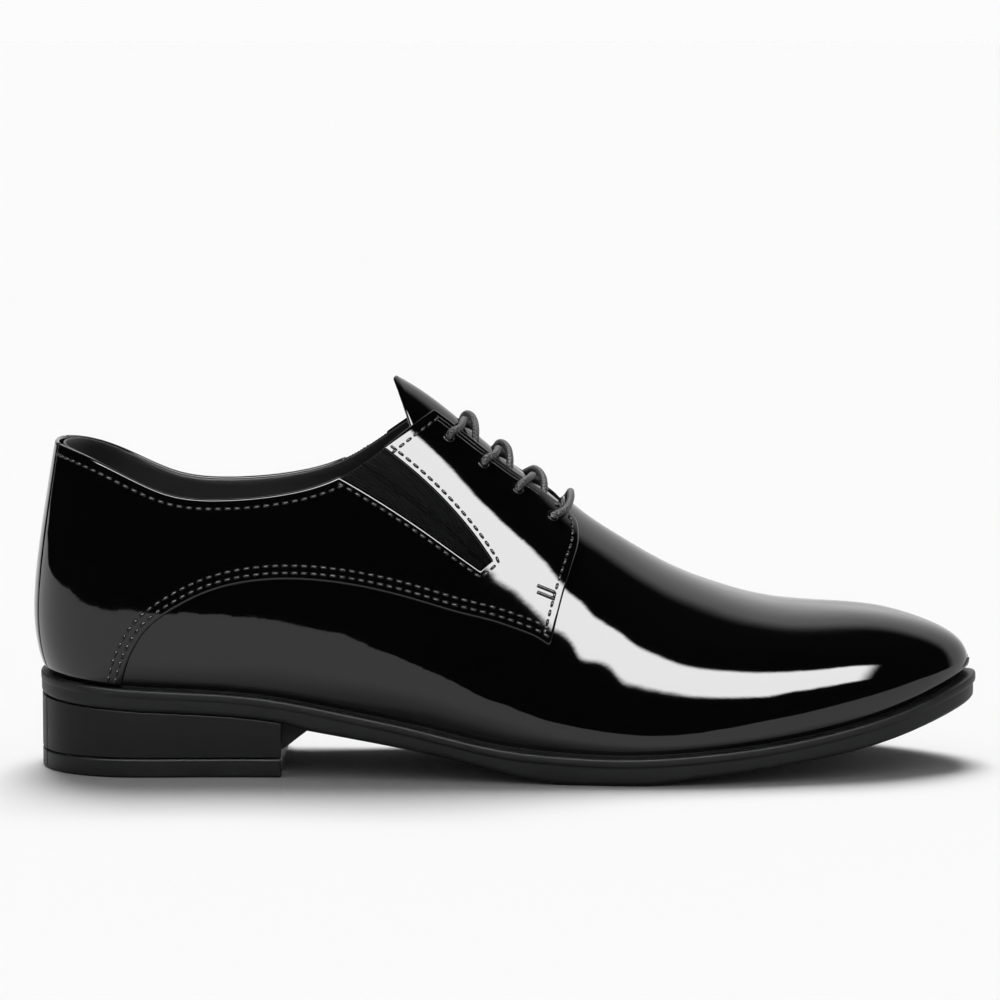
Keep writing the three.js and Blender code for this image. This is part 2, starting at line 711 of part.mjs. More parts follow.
function add(name, body, finish) {
  const { vertProperties, triVerts } = body.getMesh();
  const geometry = new THREE.BufferGeometry();
  geometry.setAttribute('position', new THREE.BufferAttribute(vertProperties, 3));
  geometry.setIndex(new THREE.BufferAttribute(triVerts, 1));
  geometry.computeVertexNormals();
  const mesh = new THREE.Mesh(geometry, new THREE.MeshStandardMaterial(finish));
  mesh.name = name;
  shoe.add(mesh);
}

const quarterShell = last(clearance + quarterThickness).subtract(last(clearance));

add('outsole', makeOutsole(), rubber);
add('heel_block', makeHeelBlock(), rubber);
add('heel_top_piece', makeTopPiece(), rubber);
add('upper', makeUpper(), patent);
add('tongue', makeTongue(), patent);
add('insole', makeInsole(), lining);
for (const [word, side] of Object.entries(sideOf)) {
  add(`quarter_${word}`, makeQuarter(side), patent);
  add(`gore_${word}`, makeGore(side), elastic);
}
add('backstay', makeBackstay(), patent);
add('lace_bar', makeLaceBar(), cord);
for (let row = 1; row < eyeletRows; row++) {
  add(`lace_cross_${row}`, overFacings(row, -1).add(overFacings(row, 1)), cord);
}

// The origin is on the floor under the middle of the whole shoe.
const extent = new THREE.Box3().setFromObject(shoe);
const centre = extent.getCenter(new THREE.Vector3());
shoe.position.set(-centre.x, -centre.y, -extent.min.z);
shoe.updateMatrixWorld(true);

export default shoe;
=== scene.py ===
"""A right patent leather derby with elastic gores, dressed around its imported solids."""
import math

import bpy
import numpy as np
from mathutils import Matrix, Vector


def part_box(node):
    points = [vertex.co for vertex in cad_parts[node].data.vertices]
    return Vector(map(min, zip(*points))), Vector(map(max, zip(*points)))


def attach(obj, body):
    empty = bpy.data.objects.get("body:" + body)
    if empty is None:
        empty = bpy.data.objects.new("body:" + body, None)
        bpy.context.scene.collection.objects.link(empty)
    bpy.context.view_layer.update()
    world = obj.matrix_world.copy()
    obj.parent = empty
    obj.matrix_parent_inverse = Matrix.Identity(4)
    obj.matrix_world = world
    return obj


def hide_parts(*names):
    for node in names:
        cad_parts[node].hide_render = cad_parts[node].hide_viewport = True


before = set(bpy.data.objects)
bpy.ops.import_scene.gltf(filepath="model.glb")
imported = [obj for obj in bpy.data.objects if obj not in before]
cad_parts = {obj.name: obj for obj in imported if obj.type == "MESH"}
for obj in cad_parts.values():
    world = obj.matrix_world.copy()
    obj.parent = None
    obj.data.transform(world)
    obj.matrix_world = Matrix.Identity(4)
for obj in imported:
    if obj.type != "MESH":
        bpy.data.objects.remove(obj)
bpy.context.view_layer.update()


# The last: the form that the whole shoe is pulled over, cut here for a right foot. Lengths are
# millimetres from the back of the sole, and the tables are shares of the last's named sizes.
sole_length = 306.2
ball_width = 103.6
waist_width = 69.0
heel_width = 68.0
seat_height = 31.5
forepart_thickness = 9.2
toe_rise = 30.0
vamp_height = 51.8
instep_height = 101.0
ankle_top = 148.0
sole_margin = 2.0
heel_margin = 3.2
toe_margin = 3.6
ridge_lean = 0.02 * ball_width
heel_round, toe_round, end_fullness = 0.112, 0.142, 2.3
heel_fan, toe_fan = 0.20, 0.25

outline_table = {
    "at": (0, 0.12, 0.26, 0.36, 0.46, 0.56, 0.64, 0.70, 0.78, 0.86, 0.93, 1),
    "of": (heel_width,) * 3 + (waist_width,) + (ball_width,) * 8,
    "medial": (0.490, 0.502, 0.480, 0.448, 0.335, 0.420, 0.483, 0.508, 0.484, 0.420, 0.346, 0.276),
    "lateral": (0.490, 0.500, 0.500, 0.552, 0.420, 0.470, 0.492, 0.478, 0.424, 0.350, 0.284, 0.224),
}
feather_table = {
    "at": (0, 0.12, 0.24, 0.32, 0.40, 0.48, 0.56, 0.62, 0.70, 0.78, 0.86, 0.92, 0.97, 1),
    "of": (seat_height,) * 6 + (forepart_thickness,) * 3 + (toe_rise,) * 5,
    "height": (1, 0.914, 0.832, 0.698, 0.549, 0.381, 1.043, 1, 1.120, 0.420, 0.560, 0.717, 0.887, 1),
}
ridge_table = {
    "at": (0, 0.20, 0.33, 0.42, 0.505, 0.54, 0.58, 0.62, 0.67, 0.72, 0.78, 0.84, 0.90, 0.95, 1),
    "of": (ankle_top,) * 3 + (instep_height,) * 4 + (vamp_height,) * 8,
    "height": (1, 1, 0.925, 1.215, 1, 0.916, 0.814, 1.428, 1.254, 1.128, 1.028, 0.994, 0.962, 0.894,
               0.810),
}
section_table = {
    "at": (0, 0.14, 0.34, 0.44, 0.56, 0.68, 0.80, 0.90, 1),
    "of": (heel_width,) * 2 + (waist_width,) + (ball_width,) * 6,
    "medial": (0.056, 0.046, 0.060, 0.050, 0.022, 0.010, 0.016, 0.016, 0.010),
    "lateral": (0.056, 0.044, 0.050, 0.030, 0.014, 0.010, 0.016, 0.016, 0.010),
    "fullness": (2.5, 2.5, 2.3, 2.0, 2.0, 2.15, 2.8, 3.3, 4.6),
    "peak": (0.185, 0.200, 0.220, 0.190, 0.130, 0.140, 0.220, 0.260, 0.300),
}


def fair(at, value):
    """A natural cubic spline through the points, as a function."""
    at = np.asarray(at, float)
    value = np.asarray(value, float)
    step = np.diff(at)
    slope = np.diff(value) / step
    system = np.eye(len(at))
    target = np.zeros(len(at))
    for i in range(1, len(at) - 1):
        system[i, i - 1:i + 2] = step[i - 1], 2 * (step[i - 1] + step[i]), step[i]
        target[i] = 6 * (slope[i] - slope[i - 1])
    bend = np.linalg.solve(system, target)

    def along(place):
        place = np.asarray(place, float)
        i = np.clip(np.searchsorted(at, place) - 1, 0, len(at) - 2)
        a = (at[i + 1] - place) / step[i]
        b = 1 - a
        cubic = (a**3 - a) * bend[i] + (b**3 - b) * bend[i + 1]
        return a * value[i] + b * value[i + 1] + cubic * step[i]**2 / 6

    return along


def column(table, name, shares=True):
    return fair(table["at"], np.multiply(table[name], table["of"] if shares else 1))


medial_width = column(outline_table, "medial")
lateral_width = column(outline_table, "lateral")
feather_height = column(feather_table, "height")
ridge_height = column(ridge_table, "height")
medial_swell = column(section_table, "medial")
lateral_swell = column(section_table, "lateral")
fullness = column(section_table, "fullness", shares=False)
swell_peak = column(section_table, "peak", shares=False)


def smoothstep(value, low, high):
    share = np.clip((value - low) / (high - low), 0, 1)
    return share * share * (3 - 2 * share)


def share_at(turn):
    """Share of the sole's length at a turn from 0, the heel's back, to 1, the tip of the toe."""
    return (1 - np.cos(np.pi * turn)) / 2


def turn_at(x):
    return np.arccos(1 - 2 * np.asarray(x) / sole_length) / np.pi


def fold(turn, side):
    """A turn past either end of the shoe comes back along the other side."""
    past = (turn < 0) | (turn > 1)
    turn = np.where(turn < 0, -turn, np.where(turn > 1, 2 - turn, turn))
    return turn, np.where(past, -side, side)


def outline_point(turn, side):
    turn, side = fold(turn, side)
    at = share_at(turn)
    off = np.maximum(np.maximum(0, 1 - at / heel_round), np.maximum(0, 1 - (1 - at) / toe_round))
    rounding = np.maximum(0, 1 - off**end_fullness)**(1 / end_fullness)
    centre = (medial_width(at) - lateral_width(at)) / 2
    half = (medial_width(at) + lateral_width(at)) / 2
    return np.stack([sole_length * at, centre + side * half * rounding], -1)


def edge_point(turn, side, inset):
    """The sole's edge, moved inwards, and the way out from it."""
    step = 0.002
    run = outline_point(turn + step, side) - outline_point(turn - step, side)
    run = run / np.linalg.norm(run, axis=-1, keepdims=True)
    out = np.stack([-side * run[..., 1], side * run[..., 0]], -1)
    return outline_point(turn, side) - out * np.asarray(inset)[..., None], out


def spread(*values):
    return np.broadcast_arrays(*[np.asarray(value, float) for value in values])


def ridge_side(at):
    centre = (medial_width(at) - lateral_width(at)) / 2
    return centre + ridge_lean * np.sin(np.pi * at)**2


def last_point(turn, side, rise):
    """A point of the last: rise runs from 0 at the feather line to 1 at the ridge."""
    turn, side, rise = spread(turn, side, rise)
    side = np.where(rise > 1, -side, side)
    rise = np.where(rise > 1, 2 - rise, rise)
    turn, side = fold(turn, side)
    at = share_at(turn)
    heel = np.maximum(0, 1 - at / heel_round)
    toe = np.maximum(0, 1 - (1 - at) / heel_fan)
    margin = sole_margin + (heel_margin - sole_margin) * heel**2 + (toe_margin - sole_margin) * toe**2
    foot, out = edge_point(turn, side, margin)
    heel_turn = np.maximum(0, 1 - at / heel_fan)
    toe_turn = np.maximum(0, 1 - (1 - at) / toe_fan)
    top = at + heel_fan / 2 * heel_turn**2 - toe_fan / 2 * toe_turn**2
    power = fullness(at)
    cosine = np.maximum(0, np.cos(rise * np.pi / 2))
    sine = np.sin(rise * np.pi / 2)
    radius = (cosine**power + sine**power)**(-1 / power)
    inward = 1 - radius * cosine
    up = radius * sine
    peak = swell_peak(at)
    hump = up / peak * (np.maximum(0, 1 - up) / (1 - peak))**((1 - peak) / peak)
    swell = np.where(side > 0, medial_swell(at), lateral_swell(at)) * hump
    x = foot[..., 0] + (sole_length * top - foot[..., 0]) * inward + out[..., 0] * swell
    y = foot[..., 1] + (ridge_side(top) - foot[..., 1]) * inward + out[..., 1] * swell
    base = feather_height(at)
    return np.stack([x, y, base + (ridge_height(x / sole_length) - base) * up], -1)


def last_slopes(turn, side, rise):
    step = 0.002
    along = last_point(turn + step, side, rise) - last_point(turn - step, side, rise)
    below = np.maximum(rise - step, 0)
    upward = last_point(turn, side, rise + step) - last_point(turn, side, below)
    return along / (2 * step), upward / (rise + step - below)[..., None]


def last_normal(turn, side, rise):
    # Both ends of the ridge are poles, so their normals are taken from just below.
    rise = np.where(np.abs(np.asarray(turn) - 0.5) > 0.49, np.minimum(rise, 0.985), rise)
    along, upward = last_slopes(turn, side, rise)
    normal = np.cross(along, upward) * -np.asarray(side, float)[..., None]
    normal[..., 2] *= smoothstep(rise, 0, 0.05)
    return normal / np.linalg.norm(normal, axis=-1, keepdims=True)


# Creases: soft troughs where patent leather bends with the foot, over the vamp's flex and
# round the ankle, alike on both sides.
crease_table = (
    # from x, from z, to x, to z (mm), half width (mm), depth (mm)
    (196, 60, 186, 26, 5.0, 0.22),
    (183, 66, 174, 38, 4.0, 0.16),
    (14, 84, 44, 70, 6.0, 0.30),
    (58, 84, 92, 78, 7.0, 0.25),
)


def crease_depth(point):
    depth = np.zeros(point.shape[:-1])
    for x0, z0, x1, z1, half, deep in crease_table:
        run = np.array([x1 - x0, z1 - z0], float)
        offset = point[..., [0, 2]] - (x0, z0)
        along = offset @ run / (run @ run)
        across = (offset[..., 0] * run[1] - offset[..., 1] * run[0]) / math.hypot(*run)
        window = np.exp(-((along - 0.5) / 0.42)**4)
        trough = np.exp(-(across / half)**2) - 0.45 * np.exp(-((across - 1.9 * half) / half)**2)
        depth += deep * trough * window
    return depth


wall = 2.0
vamp_thickness = 1.1
feather_tuck = 1.5
tuck_height = 2.2


def on_last(turn, side, rise, grow):
    """Points a distance outside the last, with its creases and the tuck above the sole."""
    turn, side, rise = spread(turn, side, rise)
    point = last_point(turn, side, rise)
    above_sole = point[..., 2] - feather_height(share_at(fold(turn, side)[0]))
    tuck = feather_tuck * np.maximum(0, 1 - above_sole / tuck_height)**2
    off = grow - crease_depth(point) - np.where(np.asarray(grow) >= -vamp_thickness, tuck, 0)
    return point + last_normal(turn, side, rise) * off[..., None]


def rise_where(turn, side, below, top=1.0):
    """The rise at which the wall reaches a line; below says which points are still under it."""
    turn = np.asarray(turn, float)
    low = np.zeros(turn.shape)
    high = np.full(turn.shape, top)
    for _ in range(26):
        middle = (low + high) / 2
        under = below(last_point(turn, side, middle))
        low = np.where(under, middle, low)
        high = np.where(under, high, middle)
    return (low + high) / 2


def locate(x, z, side):
    """Turn and rise of the place that a side view shows at x, z."""
    x = np.asarray(x, float)
    z = np.asarray(z, float)
    low = np.zeros(x.shape)
    high = np.ones(x.shape)
    for _ in range(26):
        turn = (low + high) / 2
        rise = rise_where(turn, side, lambda point: point[..., 2] < z)
        behind = last_point(turn, side, rise)[..., 0] < x
        low = np.where(behind, turn, low)
        high = np.where(behind, high, turn)
    return np.stack([turn, rise], -1)


def locate_plan(x, y, side):
    """Turn and rise of the place on the instep that a plan shows at x, y."""
    turn = turn_at(x)
    return np.stack([turn, rise_where(turn, side, lambda point: side * (point[..., 1] - y) > 0)], -1)


def lengths(points):
    """Length of the line through points, from its start to each of them."""
    return np.concatenate([[0], np.cumsum(np.linalg.norm(np.diff(points, axis=0), axis=1))])


def trace(places, side):
    """A smooth line over the last through places, as a function of 0 to 1."""
    places = np.asarray(places, float)
    points = last_point(places[:, 0], side, places[:, 1])
    run = lengths(points)
    turn, rise = fair(run / run[-1], places[:, 0]), fair(run / run[-1], places[:, 1])
    return lambda share: np.stack([turn(share), rise(share)], -1)


def chain(*lines):
    """Lines laid end to end: each is (share where it ends, line)."""
    def along(share):
        share = np.asarray(share, float)
        result = np.zeros(share.shape + (2,))
        start = 0.0
        for end, line in lines:
            inside = (share >= start) & (share <= end)
            result[inside] = line((share[inside] - start) / (end - start))
            start = end
        return result
    return along


def slide(places, side, distance):
    """The same line moved sideways over the last, to its left as seen from outside."""
    for _ in range(2):
        points = last_point(places[:, 0], side, places[:, 1])
        normal = last_normal(places[:, 0], side, places[:, 1])
        across = np.cross(normal, np.gradient(points, axis=0))
        across /= np.linalg.norm(across, axis=1, keepdims=True)
        along, upward = last_slopes(places[:, 0], side, places[:, 1])
        slopes = np.stack([along, upward], -1)
        step = [np.linalg.lstsq(slope, way * distance / 2, rcond=None)[0]
                for slope, way in zip(slopes, across)]
        places = places + np.array(step)
    return places


def close_steps(count, edge=0.006):
    """Even steps from 0 to 1 with two more close to each end, which keep its edge crisp."""
    even = np.linspace(3.5 * edge, 1 - 3.5 * edge, count)
    return np.concatenate([[0, edge, 2 * edge], even, [1 - 2 * edge, 1 - edge, 1]])


def patch(bottom, top, left, right, across, up):
    """Places over the area inside four lines."""
    u = across[:, None, None]
    v = up[None, :, None]
    low, high = bottom(across)[:, None], top(across)[:, None]
    start, end = left(up)[None], right(up)[None]
    corners = ((1 - u) * (1 - v) * low[:1] + u * (1 - v) * low[-1:]
               + (1 - u) * v * high[:1] + u * v * high[-1:])
    return (1 - v) * low + v * high + (1 - u) * start + u * end - corners


# The frame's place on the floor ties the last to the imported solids.
sole_low, sole_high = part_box("outsole")
widest = np.linspace(0, 1, 4001)
shift = np.array([
    sole_low[0],
    sole_high[1] - outline_point(widest, np.ones(4001))[:, 1].max() * 0.001,
    0.0,
])


def link(name, data):
    thing = bpy.data.objects.new(name, data)
    bpy.context.collection.objects.link(thing)
    return thing


def build(name, points, faces, finish, smooth=True):
    """A mesh piece from millimetre points in the last's own frame."""
    mesh = bpy.data.meshes.new(name)
    placed = np.asarray(points) * 0.001 + shift
    mesh.from_pydata(placed.tolist(), [], faces)
    mesh.update()
    mesh.polygons.foreach_set("use_smooth", [smooth] * len(mesh.polygons))
    mesh.materials.append(finish)
    return link(name, mesh)


def hoops(count, sides, base=0):
    """Quads between closed loops of points that follow each other."""
    faces = []
    for start in range(base, base + (count - 1) * sides, sides):
        for k in range(sides):
            a, b = start + k, start + (k + 1) % sides
            faces.append([a, b, b + sides, a + sides])
    return faces


def weld(points, faces):
    """Merges points that lie on each other and drops faces that collapse."""
    keys = np.round(points / 2e-4).astype(np.int64)
    _, first, index = np.unique(keys, axis=0, return_index=True, return_inverse=True)
    index = index.reshape(-1)
    kept = []
    for face in faces:
        loop = []
        for corner in face:
            if index[corner] not in loop:
                loop.append(int(index[corner]))
        if len(loop) > 2:
            kept.append(loop)
    return first, kept


def grid_faces(rows, columns):
    number = np.arange(rows * columns).reshape(rows, columns)
    corners = number[:-1, :-1], number[1:, :-1], number[1:, 1:], number[:-1, 1:]
    return np.stack(corners, -1).reshape(-1, 4)


def shell(name, areas, inner, outer, finish, relief=None, roll=0.9):
    """A sheet of leather over the last: areas are (side, places), and the sheet reaches from
    the inner to the outer distance, with its cut edges rolled round."""
    tops, lows, faces = [], [], []
    base = 0
    for side, places in areas:
        rows, columns = places.shape[:2]
        height = outer if relief is None else outer + relief(rows, columns)
        tops.append(on_last(places[..., 0], side, places[..., 1], height).reshape(-1, 3))
        lows.append(on_last(places[..., 0], side, places[..., 1], inner).reshape(-1, 3))
        quads = base + grid_faces(rows, columns)
        faces += (quads if side < 0 else quads[:, ::-1]).tolist()
        base += rows * columns
    tops, lows = np.concatenate(tops), np.concatenate(lows)
    first, faces = weld(tops, faces)
    tops, lows = tops[first], lows[first]
    count = len(tops)
    edges = {}
    for face in faces:
        for a, b in zip(face, face[1:] + face[:1]):
            edges[(a, b)] = edges.get((a, b), 0) + 1
    rim = [edge for edge in edges if (edge[1], edge[0]) not in edges]
    away = np.zeros((count, 3))
    for a, b in rim:
        way = np.cross(tops[b] - tops[a], tops[a] - lows[a])
        way /= np.linalg.norm(way) + 1e-12
        away[a] += way
        away[b] += way
    away /= np.linalg.norm(away, axis=1, keepdims=True) + 1e-12
    points = [tops, lows]
    whole = list(faces) + [[count + corner for corner in reversed(face)] for face in faces]
    turns = 5
    ring = {}
    total = 2 * count
    for a in sorted({corner for edge in rim for corner in edge}):
        middle, half = (tops[a] + lows[a]) / 2, (tops[a] - lows[a]) / 2
        bulge = np.linalg.norm(half) * roll
        angle = np.pi * np.arange(1, turns)[:, None] / turns
        points.append(middle + half * np.cos(angle) + away[a] * bulge * np.sin(angle))
        ring[a] = [a] + list(range(total, total + turns - 1)) + [count + a]
        total += turns - 1
    for a, b in rim:
        for k in range(turns):
            whole.append([ring[b][k], ring[a][k], ring[a][k + 1], ring[b][k + 1]])
    return build(name, np.concatenate(points), whole, finish)


def tube(name, points, radius, finish, sides=14):
    """A round cord along points, with its length and turn as UVs, closed at both ends."""
    tangent = np.gradient(points, axis=0)
    tangent /= np.linalg.norm(tangent, axis=1, keepdims=True)
    normal = np.cross(tangent[0], (0.3, 0.2, 1.0))
    vertices = []
    for here, way in zip(points, tangent):
        normal = normal - way * (normal @ way)
        normal /= np.linalg.norm(normal)
        other = np.cross(way, normal)
        angle = 2 * np.pi * np.arange(sides)[:, None] / sides
        vertices.append(here + radius * (np.cos(angle) * normal + np.sin(angle) * other))
    count = len(points)
    faces = hoops(count, sides)
    faces += [list(range(sides))[::-1], list(range((count - 1) * sides, count * sides))]
    piece = build(name, np.concatenate(vertices), faces, finish)
    run = lengths(points)
    layer = piece.data.uv_layers.new(name="cord")
    corner = 0
    for j in range(count - 1):
        for k in range(sides):
            for step_along, step_round in ((0, 0), (0, 1), (1, 1), (1, 0)):
                layer.data[corner].uv = (run[j + step_along], (k + step_round) / sides)
                corner += 1
    return piece


def dress(piece, slot, *nodes):
    """The piece rides on the shoe's one body and stands for the solids that it covers."""
    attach(piece, "root")
    if nodes:
        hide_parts(*nodes)


# Patent leather: split leather under a thick clear film. It is near black, its gloss is a
# mirror with a slow waviness, and the film lies a little uneven over the grain.
class Flow:
    """A value on its way through a finish's nodes."""

    def __init__(self, finish, socket):
        self.finish = finish
        self.socket = socket

    def __add__(self, other):
        return self.finish.math("ADD", self, other)

    def __sub__(self, other):
        return self.finish.math("SUBTRACT", self, other)

    def __rsub__(self, other):
        return self.finish.math("SUBTRACT", other, self)

    def __mul__(self, other):
        return self.finish.math("MULTIPLY", self, other)


class Finish:
    """A material around one Principled shader; constants are set on the shader itself."""

    def __init__(self, name, **constants):
        self.material = bpy.data.materials.new(name)
        self.material.use_nodes = True
        self.tree = self.material.node_tree
        self.shader = self.tree.nodes["Principled BSDF"]
        for key, value in constants.items():
            self.shader.inputs[key.replace("_", " ")].default_value = value

    def node(self, kind, settings=None, inputs=None, output=0):
        node = self.tree.nodes.new(kind)
        for key, value in (settings or {}).items():
            setattr(node, key, value)
        for key, value in (inputs or {}).items():
            if isinstance(value, Flow):
                self.tree.links.new(value.socket, node.inputs[key])
            else:
                node.inputs[key].default_value = value
        return Flow(self, node.outputs[output]) if node.outputs else None

    def math(self, operation, *values):
        return self.node("ShaderNodeMath", {"operation": operation}, dict(enumerate(values)))

    def place(self, kind="Object"):
        return self.node("ShaderNodeTexCoord", output=kind)

    def axis(self, vector, letter):
        return self.node("ShaderNodeSeparateXYZ", None, {"Vector": vector}, letter)

    def noise(self, scale, detail=2.0, roughness=0.5):
        inputs = {"Vector": self.place(), "Scale": scale, "Detail": detail, "Roughness": roughness}
        return self.node("ShaderNodeTexNoise", None, inputs)

    def bump(self, height, distance, strength=1.0, under=None):
        inputs = {"Height": height, "Distance": distance, "Strength": strength}
        if under is not None:
            inputs["Normal"] = under
        return self.node("ShaderNodeBump", None, inputs)

    def blend(self, factor, first, second):
        inputs = {0: factor, 6: first, 7: second}
        return self.node("ShaderNodeMix", {"data_type": "RGBA"}, inputs, output=2)

    def feed(self, **flows):
        for key, flow in flows.items():
            self.tree.links.new(flow.socket, self.shader.inputs[key.replace("_", " ")])
        return self.material


def patent_leather():
    finish = Finish("patent_leather", Base_Color=(0.003, 0.003, 0.0032, 1), Roughness=0.05,
                    Specular_IOR_Level=0.5)
    normal = finish.bump(finish.noise(26, 1.0, 0.4), 0.0012, 0.5)
    normal = finish.bump(finish.noise(70, 1.5, 0.45), 0.00024, 0.5, normal)
    normal = finish.bump(finish.noise(700, 2, 0.5), 0.000010, 0.4, normal)
    haze = finish.noise(60, 3, 0.6) * 0.03 + 0.025
    return finish.feed(Normal=normal, Roughness=haze)


patent = patent_leather()

# Upper: the vamp with its long wings, cut from one piece of patent leather and lasted over
# the toe. Behind the throat it only goes on, hidden, under the quarters.
throat = 0.560 * sole_length
throat_gap = 28.0
collar_gap = 26.0
eyelet_pitch = 11.1
eyelet_rows = 4
lowest_eyelet = 0.543 * sole_length
collar_back = 106.0
collar_dip = 89.5
facing_top = 117.0
clearance = 0.3
quarter_thickness = 1.3
quarter_face = clearance + quarter_thickness
collar_table = {
    "at": (-0.06, 0.02, 0.07, 0.14, 0.20, 0.27, 0.33, 0.38, 0.42, 0.46),
    "of": (collar_back,) * 3 + (collar_dip,) * 3 + (facing_top,) * 4,
    "height": (1, 0.998, 0.955, 1.022, 1, 1.024, 0.836, 0.925, 0.995, 1.040),
}
collar_height = column(collar_table, "height")


def collar_rise(turn, side):
    return rise_where(turn, side, lambda point: point[..., 2] < collar_height(point[..., 0] / sole_length))


def gap_half(x):
    share = (0.572 * sole_length - x) / (0.029 * sole_length + eyelet_pitch * (eyelet_rows - 1))
    return (throat_gap + (collar_gap - throat_gap) * np.clip(share, 0, 1)) / 2


def facing_rise(turn, side, inset=0.0):
    x = sole_length * share_at(turn)
    y = ridge_side(x / sole_length) + side * (gap_half(x) + inset)
    return rise_where(turn, side, lambda point: side * (point[..., 1] - y) > 0)


def facing_corner(side):
    """Turn at which the facing's edge meets the topline."""
    low, high = turn_at(0.36 * sole_length), turn_at(0.50 * sole_length)
    for _ in range(30):
        middle = (low + high) / 2
        turn = np.array([middle])
        if facing_rise(turn, side)[0] > collar_rise(turn, side)[0]:
            low = middle
        else:
            high = middle
    return middle


def columns_up(turns, low, high, share):
    """Places in columns, one for each turn, from a low to a high rise."""
    rise = low[:, None] + (high - low)[:, None] * share
    return np.stack([np.repeat(turns[:, None], len(share), 1), rise], -1)


def skin(drop, facing_inset, along=150, up=36):
    """Areas of the whole upper below its topline and facings."""
    throat_turn = turn_at(throat)
    back = np.linspace(0, 1, along) * throat_turn
    front = throat_turn + (1 - throat_turn) * np.linspace(0, 1, along)[1:]
    turns = np.concatenate([back, front])
    areas = []
    for side in (-1, 1):
        corner = facing_corner(side)
        limit = np.where(back < corner, collar_rise(back, side), facing_rise(back, side, facing_inset))
        line = np.concatenate([limit, np.full(len(front), limit[-1])])
        line -= np.where(turns < corner, drop, 0)
        areas.append((side, columns_up(turns, 0 * line, line, np.linspace(0, 1, up))))
        start = line[along - 1:]
        over = columns_up(turns[along - 1:], start, 0 * start + 1, np.linspace(0, 1, up // 2))
        areas.append((side, over))
    return areas


upper = shell("vamp", skin(0.03, 1.5), -vamp_thickness, 0.0, patent)
dress(upper, "patent_leather", "upper")


# Lining: thin black leather glued inside the upper, folded over at the topline and the
# facings, where its edge shows beside the quarter's.
def lining_leather():
    finish = Finish("lining_leather", Base_Color=(0.012, 0.011, 0.011, 1), Roughness=0.5)
    grain = finish.bump(finish.noise(900, 3, 0.6), 0.00008, 0.5)
    rough = finish.noise(140, 3, 0.6) * 0.15 + 0.42
    return finish.feed(Normal=grain, Roughness=rough)


lining = shell("lining", skin(0.0, 0.0), -wall, -1.15, lining_leather())
dress(lining, "lining_leather")

# Quarters: the rear panels, lapped over the vamp and closed down with two rows of stitches.
# Each has the facing with its eyelets, a tab at the throat and a window for the gore.
seam_table = {
    "at": (0.0900, 0.0980, 0.1040, 0.1183, 0.1449, 0.1859, 0.2293, 0.2832, 0.3375, 0.3794, 0.4128,
           0.4485, 0.4877, 0.5092, 0.5306, 0.5411),
    "of": (collar_dip,) * 10 + (instep_height,) * 6,
    "height": (0.3220, 0.4280, 0.4741, 0.5478, 0.6170, 0.6851, 0.7194, 0.7277, 0.7093, 0.6801, 0.5750,
               0.5436, 0.5135, 0.4917, 0.4656, 0.4457),
}
seam_foot = seam_table["at"][0] * sole_length
seam_x = np.array(seam_table["at"]) * sole_length
seam_z = np.multiply(seam_table["height"], seam_table["of"])
seam_run = np.concatenate([[0], np.cumsum(np.hypot(np.diff(seam_x), np.diff(seam_z)))])
seam_fine = np.linspace(0, seam_run[-1], 400)
seam_fine_x = fair(seam_run, seam_x)(seam_fine)
seam_fine_z = fair(seam_run, seam_z)(seam_fine)
tab_table = {
    "x": (0.5608, 0.5653, 0.5694, 0.5698, 0.5673),
    "z": (0.6585, 0.6980, 0.7360, 0.7720, 0.8000),
}
gore_table = {
    "rear_x": (0.322, 0.426, 0.470),
    "rear_z": (0.979, 0.757, 0.663),
    "front_x": (0.370, 0.430, 0.468, 0.483),
    "front_z": (1.062, 0.893, 0.760, 0.696),
}
tip_level = 0.36
backstay_half = 13.5


def seam_rise(turn, side):
    def below(point):
        line = np.interp(point[..., 0], seam_fine_x, seam_fine_z)
        return (point[..., 0] > seam_foot) & (point[..., 2] < line)
    return rise_where(turn, side, below, top=0.9)


def strip_turn(half, side):
    """Turn at which the sole's edge is a distance to one side of the back seam."""
    turns = np.linspace(0, 0.3, 600)
    return float(np.interp(half, side * last_point(turns, side, 0 * turns)[:, 1], turns))


